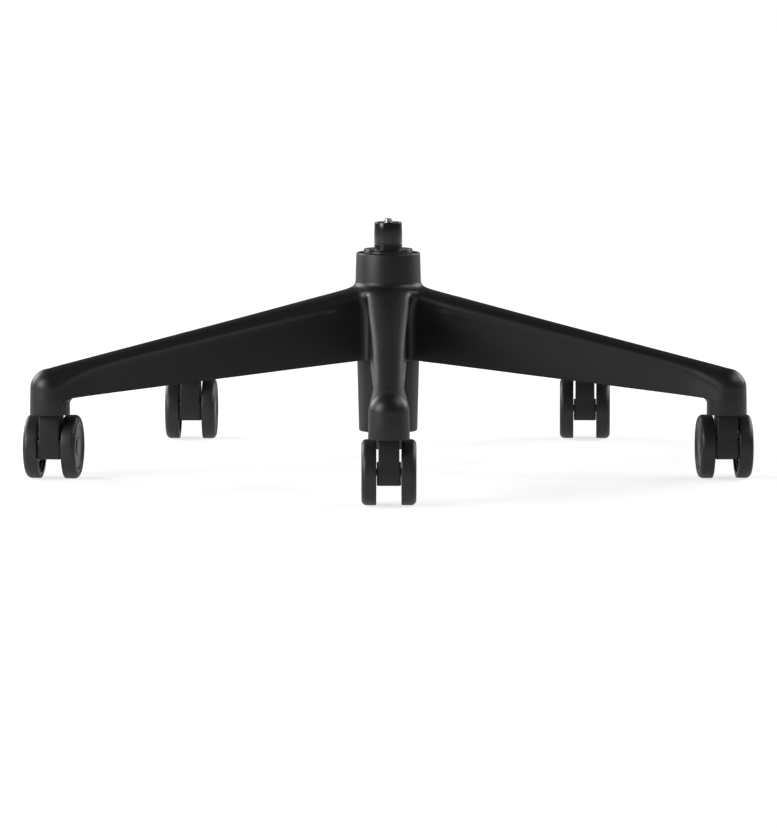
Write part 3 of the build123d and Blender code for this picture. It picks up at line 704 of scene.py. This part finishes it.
# %% Outer column
COLUMN_TOP_Z, COLUMN_FOOT_Z = 218.6, 20.5
PIN_HOLE = 4.08

column = draw_profile("column", [
    (23.0, COLUMN_TOP_Z), (25.0, COLUMN_TOP_Z), (25.0, 118.0), (23.2, 47.0), (18.5, 41.0),
    (18.5, COLUMN_FOOT_Z), (16.5, COLUMN_FOOT_Z), (16.5, 26.0), (PIN_HOLE, 26.0),
    (PIN_HOLE, 28.5), (16.5, 28.5), (16.5, 41.0), (21.2, 47.0), (23.0, 118.0)])
round_corners(column, (25.0, COLUMN_TOP_Z, 0.5, 5), (23.0, COLUMN_TOP_Z, 0.3, 5),
              (23.2, 47.0, 4.0, 5), (18.5, 41.0, 3.0, 5), (18.5, COLUMN_FOOT_Z, 1.0, 5),
              (16.5, COLUMN_FOOT_Z, 0.4, 5))
lathe(column)
finish_shape(column)
coat(column, tube_black)
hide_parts("column_tube")
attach(column, "base")
print("column faces", len(column.data.polygons))

# %% Guide bush with its lip
LIP_RADIUS, LIP_TOP_Z = 24.4, 220.8

bush = draw_profile("bush", [
    (14.08, 140.6), (22.98, 140.6), (22.98, COLUMN_TOP_Z), (LIP_RADIUS, COLUMN_TOP_Z),
    (LIP_RADIUS, LIP_TOP_Z), (20.4, LIP_TOP_Z), (19.4, 220.4), (15.2, 220.4), (14.08, 219.4)])
round_corners(bush, (LIP_RADIUS, LIP_TOP_Z, 1.1, 8), (LIP_RADIUS, COLUMN_TOP_Z, 0.9, 6),
              (20.4, LIP_TOP_Z, 0.6, 5))
lathe(bush)
finish_shape(bush)
coat(bush, bush_acetal)
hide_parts("guide_bush")
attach(bush, "base")
print("bush faces", len(bush.data.polygons))

# %% Pressure tube with its seat for the chair
TUBE_RADIUS, TUBE_FOOT_Z, TUBE_TOP_Z = 14.0, 44.6, 247.4

tube = draw_profile("tube", [
    (12.4, TUBE_FOOT_Z), (TUBE_RADIUS, TUBE_FOOT_Z), (TUBE_RADIUS, 225.2), (13.5, 225.2),
    (13.5, 226.4), (TUBE_RADIUS, 226.4), (TUBE_RADIUS, 238.4), (13.5, TUBE_TOP_Z),
    (PIN_HOLE, TUBE_TOP_Z), (PIN_HOLE, 244.4), (12.4, 244.4)])
round_corners(tube, (TUBE_RADIUS, 225.2, 0.2, 5), (TUBE_RADIUS, 226.4, 0.2, 5),
              (13.5, TUBE_TOP_Z, 1.0, 5), (PIN_HOLE, TUBE_TOP_Z, 0.4, 5),
              (TUBE_RADIUS, TUBE_FOOT_Z, 0.4, 5))
lathe(tube)
finish_shape(tube)
coat(tube, tube_gloss)
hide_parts("pressure_tube")
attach(tube, "tube")
print("tube faces", len(tube.data.polygons))

# %% Release pin
PIN_RADIUS, PIN_TOP_Z = 4.0, 250.8

pin = draw_profile("pin", [
    (0.0, 223.4), (2.0, 223.4), (2.0, 242.3), (6.0, 242.3), (6.0, 244.3), (PIN_RADIUS, 244.3),
    (PIN_RADIUS, PIN_TOP_Z), (0.0, PIN_TOP_Z)])
round_corners(pin, (PIN_RADIUS, PIN_TOP_Z, 0.8, 5))
lathe(pin, 64)
finish_shape(pin)
coat(pin, steel)
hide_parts("release_pin")
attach(pin, "pin")
print("pin faces", len(pin.data.polygons))

# %% [markdown]
# ## A caster, modelled once
#
# The five casters are the same, so each piece is modelled once, with the swivel axis on
# Z and the wheels trailing along X. The tyre is a spun profile with a big round
# shoulder outside and a small one inside: those shoulders draw the bright lines at the
# edges of every wheel. The wheel inside it has a dished face, and spokes at its back.

# %% Tyre
WHEEL_RADIUS = 31.5
WHEEL_INNER, WHEEL_OUTER = 11.9, 26.2
RIM_RADIUS = 26.0
AXLE_X, AXLE_Z = 20.0, WHEEL_RADIUS


def turn_to_axle(piece):
    """Lays a piece that was spun round Z on the axle, its height becoming the way outwards."""
    piece.rotation_euler = (-math.pi / 2, 0, 0)
    piece.location = Vector((AXLE_X, 0, AXLE_Z)) * MM
    apply_place(piece)


tyre = draw_profile("tyre", [
    (RIM_RADIUS, WHEEL_INNER), (WHEEL_RADIUS, WHEEL_INNER), (WHEEL_RADIUS, WHEEL_OUTER),
    (RIM_RADIUS, WHEEL_OUTER)])
round_corners(tyre, (WHEEL_RADIUS, WHEEL_OUTER, 5.0, 10), (WHEEL_RADIUS, WHEEL_INNER, 1.2, 4),
              (RIM_RADIUS, WHEEL_OUTER, 0.4, 2))
lathe(tyre)
turn_to_axle(tyre)
finish_shape(tyre)
coat(tyre, tread)
print("tyre faces", len(tyre.data.polygons))

# %% Wheel: rim, dished face and hub
AXLE_HOLE = 3.58

wheel = draw_profile("wheel", [
    (AXLE_HOLE, WHEEL_INNER), (7.6, WHEEL_INNER), (7.6, 21.4), (22.98, 21.4), (22.98, 13.9),
    (25.98, 13.9), (25.98, 25.5), (22.98, 25.5), (21.0, 24.0), (9.8, 24.0), (8.6, 25.0),
    (0.0, 25.0), (0.0, 21.3), (AXLE_HOLE, 21.3)])
round_corners(wheel, (7.6, WHEEL_INNER, 0.5, 4), (22.98, 13.9, 0.4, 4), (25.98, 13.9, 0.3, 4),
              (25.98, 25.5, 0.4, 4), (22.98, 25.5, 0.8, 4), (21.0, 24.0, 1.6, 4),
              (9.8, 24.0, 0.5, 4), (8.6, 25.0, 0.5, 4))
lathe(wheel)
finish_shape(wheel)
print("rim and face", len(wheel.data.polygons))

# %% Wheel: the ring and the eight spokes at its back
SPOKES = 8
SPOKE_SIZE = (16.2, 1.8, 7.4)
SPOKE_MIDDLE = (15.3, 0, 18.1)

ring = draw_profile("ring", [(13.2, 14.4), (15.0, 14.4), (15.0, 21.8), (13.2, 21.8)])
lathe(ring, 64)
bars = [ring]
for turn in range(SPOKES):
    deselect_all()
    bpy.ops.mesh.primitive_cube_add(size=MM)
    spoke = bpy.context.object
    edit(spoke)
    bpy.ops.transform.resize(value=SPOKE_SIZE)
    bpy.ops.transform.translate(value=Vector(SPOKE_MIDDLE) * MM)
    pick(spoke, lambda co: co.z < 15.0)
    bpy.ops.mesh.bevel(offset=0.3 * MM, segments=2)
    bpy.ops.mesh.select_all(action="SELECT")
    bpy.ops.transform.rotate(value=turn * math.pi / 4, orient_axis="Z", center_override=(0, 0, 0))
    bars.append(spoke)
join(*bars, wheel)
turn_to_axle(wheel)
finish_shape(wheel)
coat(wheel, wheel_nylon)
print("wheel faces", len(wheel.data.polygons))

# %% [markdown]
# ## The caster body
#
# Seen from the front the body is a plain upright slab between the two wheels, with a
# slit of daylight on each side and a wider foot under it. From the side it reaches from
# the swivel axis back over the axle and is rounded there. So the slab and the foot are
# each drawn as a side outline, filled, pulled to their thickness and bevelled. A boolean
# bores the slab for the pivot of the stem, and the axle boss is a short turned piece.

# %% Caster body: the slab
SLAB_HALF_WIDTH = 10.0
SHARP = math.radians(50)
SLAB_TOP = [(-9.0, 64.6), (15.0, 64.6), (20.0, 63.0), (24.0, 58.5), (26.4, 50.0)]


def outline_piece(name, points, half_width):
    """A flat outline in the XZ plane, filled and pulled to a thickness along Y."""
    piece = draw_profile(name, points)
    bpy.ops.mesh.select_all(action="SELECT")
    bpy.ops.mesh.edge_face_add()
    bpy.ops.transform.translate(value=(0, -half_width * MM, 0))
    bpy.ops.mesh.extrude_region_move(TRANSFORM_OT_translate={"value": (0, 2 * half_width * MM, 0)})
    bpy.ops.mesh.select_all(action="SELECT")
    bpy.ops.mesh.normals_make_consistent(inside=False)
    return piece


def arc(x, z, radius, degrees):
    """Points of an arc in the XZ plane, one at each of these angles."""
    return [(x + radius * math.cos(math.radians(a)), z + radius * math.sin(math.radians(a)))
            for a in degrees]


def bevel_sharp_edges(size):
    bpy.ops.mesh.select_all(action="DESELECT")
    bpy.ops.mesh.edges_select_sharp(sharpness=SHARP)
    bpy.ops.mesh.bevel(offset=size * MM, segments=3)


body = outline_piece("body", SLAB_TOP + arc(AXLE_X, AXLE_Z, 10.7, range(53, -91, -13))
                     + [(0.0, 20.8)] + arc(-4.0, 25.8, 5.0, range(270, 179, -15)),
                     SLAB_HALF_WIDTH)
pick(body, lambda co: (co.x < -8.9 and co.z > 26.0
                       and abs(abs(co.y) - SLAB_HALF_WIDTH) < 0.05), "EDGE")
bpy.ops.mesh.bevel(offset=1.2 * MM, segments=4)
bevel_sharp_edges(0.45)
finish_shape(body, 40.0)
print("slab faces", len(body.data.polygons))

# %% Caster body: foot and axle boss
FOOT_HALF_WIDTH = 11.5
BOSS_RADIUS, BOSS_HOLE, BOSS_HALF_WIDTH = 9.8, 3.52, 11.6

foot = outline_piece("foot", [(-8.9, 40.2), (AXLE_X, 40.2), (AXLE_X, 21.4), (0.0, 20.9),
                              (-4.0, 20.9), (-7.4, 22.3), (-8.9, 25.8)], FOOT_HALF_WIDTH)
bevel_sharp_edges(0.7)
axle_boss = draw_profile("axle_boss", [
    (BOSS_HOLE, -BOSS_HALF_WIDTH), (BOSS_RADIUS, -BOSS_HALF_WIDTH),
    (BOSS_RADIUS, BOSS_HALF_WIDTH), (BOSS_HOLE, BOSS_HALF_WIDTH)])
round_corners(axle_boss, (BOSS_RADIUS, -BOSS_HALF_WIDTH, 0.6, 3),
              (BOSS_RADIUS, BOSS_HALF_WIDTH, 0.6, 3))
lathe(axle_boss, 64)
turn_to_axle(axle_boss)
print("boss faces", len(axle_boss.data.polygons))

# %% Caster body: the bore for the pivot
PIVOT_RADIUS, BORE_DEPTH, BORE_MIDDLE_Z = 5.08, 30, 55.6

deselect_all()
bpy.ops.mesh.primitive_cylinder_add(vertices=48, radius=PIVOT_RADIUS * MM, depth=BORE_DEPTH * MM,
                                    location=(0, 0, BORE_MIDDLE_Z * MM))
bore = bpy.context.object
drill = body.modifiers.new("bore for the pivot", "BOOLEAN")
drill.object = bore
drill.operation = "DIFFERENCE"
drill.solver = "EXACT"
apply_modifier(body, drill)
select_only(bore)
bpy.ops.object.delete()
join(foot, axle_boss, body)
finish_shape(body, 40.0)
coat(body, body_nylon)
print("body faces", len(body.data.polygons))

# %% [markdown]
# ## Five casters
#
# Each caster stands under its socket and has come to rest at its own heading. The copy
# for the right side of a caster is turned half round the middle of the axle, not
# mirrored, so that its faces still point outwards.

# %% Copies at their places
headings = {"front": 90.0, "right": 93.9, "rear_right": 88.3, "rear_left": 87.8, "left": 82.7}


def copy_to(source, name, place, heading, half_turn):
    """A copy with its own mesh, turned to the heading and set under its socket."""
    piece = source.copy()
    piece.data = source.data.copy()
    piece.name = name
    piece.data.name = name
    bpy.context.scene.collection.objects.link(piece)
    turn = Matrix.Rotation(math.radians(heading), 4, "Z")
    if half_turn:
        axle = Matrix.Translation(Vector((AXLE_X, 0, 0)) * MM)
        turn = turn @ axle @ Matrix.Rotation(math.pi, 4, "Z") @ axle.inverted()
    piece.matrix_world = Matrix.Translation(place) @ turn
    apply_place(piece)
    return piece


for index, (caster, heading) in enumerate(headings.items()):
    socket = socket_place(index)
    piece = copy_to(body, caster + "_body", socket, heading, False)
    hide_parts(caster + "_caster_body")
    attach(piece, caster + "_caster")
    for side, half_turn in (("left", False), ("right", True)):
        piece = copy_to(tyre, caster + "_tread_" + side, socket, heading, half_turn)
        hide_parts(caster + "_tyre_" + side)
        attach(piece, caster + "_roller_" + side)
        piece = copy_to(wheel, caster + "_disc_" + side, socket, heading, half_turn)
        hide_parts(caster + "_wheel_" + side)
        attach(piece, caster + "_roller_" + side)
select_only(tyre, wheel, body)
bpy.ops.object.delete()
print("casters", len(headings))

# %% [markdown]
# ## Floor and light
#
# The base stands on a white sweep. To the camera the floor glows white and keeps only a
# faint shadow. In reflections it glows half as much, because the upright faces of so
# dark a part show little else than the floor in front of them, and that sets how grey
# they look. The glow is a little weaker near the hub. The world is white to the camera
# too, and dim for everything else.

# %% Floor
FLOOR_TONE = 0.44
GLOW_IN_GLOSS = 0.50

deselect_all()
bpy.ops.mesh.primitive_plane_add(size=60.0, location=(0, 0, 0))
floor = bpy.context.object
floor.name = "floor"
floor_paint, tree, paint = new_finish("floor_white")
paint.inputs["Base Color"].default_value = (FLOOR_TONE, FLOOR_TONE, FLOOR_TONE, 1)
paint.inputs["Roughness"].default_value = 1.0
paint.inputs["Specular IOR Level"].default_value = 0.0
rays = add_node(tree, "LightPath")
in_gloss = add_node(tree, "Math", {1: GLOW_IN_GLOSS}, "MULTIPLY")
link(tree, rays, "Is Glossy Ray", in_gloss, 0)
seen = add_node(tree, "Math", operation="MAXIMUM")
link(tree, rays, "Is Camera Ray", seen, 0)
link(tree, in_gloss, "Value", seen, 1)
from_hub = add_node(tree, "TexCoord")
distance = add_node(tree, "VectorMath", operation="LENGTH")
link(tree, from_hub, "Object", distance, "Vector")
outwards = add_node(tree, "MapRange", {"From Min": 0.5, "From Max": 3.5,
                                       "To Min": 0.75, "To Max": 0.98})
link(tree, distance, "Value", outwards, "Value")
strength = add_node(tree, "Math", operation="MULTIPLY")
link(tree, seen, "Value", strength, 0)
link(tree, outwards, "Result", strength, 1)
glow = add_node(tree, "Emission")
link(tree, strength, "Value", glow, "Strength")
both = add_node(tree, "AddShader")
link(tree, paint, "BSDF", both, 0)
link(tree, glow, "Emission", both, 1)
link(tree, both, "Shader", tree.nodes["Material Output"], "Surface")
coat(floor, floor_paint)
print("floor nodes", len(tree.nodes))

# %% World
world = bpy.data.worlds.new("studio")
bpy.context.scene.world = world
world.use_nodes = True
tree = world.node_tree
dim = tree.nodes["Background"]
dim.inputs["Color"].default_value = (1, 1, 1, 1)
way = add_node(tree, "TexCoord")
parts_of_way = add_node(tree, "SeparateXYZ")
link(tree, way, "Generated", parts_of_way, "Vector")
fade = add_node(tree, "MapRange", {"From Min": 0.05, "From Max": 0.45,
                                   "To Min": 0.20, "To Max": 0.05})
link(tree, parts_of_way, "Z", fade, "Value")
link(tree, fade, "Result", dim, "Strength")
white = add_node(tree, "Background", {"Strength": 1.0})
rays = add_node(tree, "LightPath")
swap = add_node(tree, "MixShader")
link(tree, rays, "Is Camera Ray", swap, "Fac")
link(tree, dim, "Background", swap, 1)
link(tree, white, "Background", swap, 2)
link(tree, swap, "Shader", tree.nodes["World Output"], "Surface")
print("world nodes", len(tree.nodes))

# %% [markdown]
# Four soft boxes draw the soft edges on the collar, the legs and the wheels: one in
# front at the left, one behind at each side, and a weak one high at the right. None
# hangs above the base, so the tops of the legs stay dark, as in the photograph.

# %% Soft boxes
BOX_DISTANCE = 2.6
BOX_HEIGHT = 1.2
BOX_AIM = (0, 0, 0.1)


def soft_box(name, azimuth, elevation, width, power):
    """A soft box placed by its bearing from the camera's own side, right being positive."""
    bearing, lift = math.radians(azimuth), math.radians(elevation)
    place = (BOX_DISTANCE * math.sin(bearing) * math.cos(lift),
             -BOX_DISTANCE * math.cos(bearing) * math.cos(lift),
             BOX_DISTANCE * math.sin(lift))
    data = bpy.data.lights.new(name, "AREA")
    data.shape = "RECTANGLE"
    data.size = width
    data.size_y = BOX_HEIGHT
    data.energy = power
    lamp = bpy.data.objects.new(name, data)
    bpy.context.scene.collection.objects.link(lamp)
    lamp.location = place
    lamp.rotation_euler = (Vector(BOX_AIM) - Vector(place)).to_track_quat("-Z", "Y").to_euler()


soft_box("left_box", -60, 24, 1.5, 42)
soft_box("left_edge_box", -125, 26, 1.6, 38)
soft_box("right_edge_box", 125, 26, 1.6, 25)
soft_box("right_high_box", 80, 46, 1.4, 14)
print("lamps", len(bpy.data.lights))
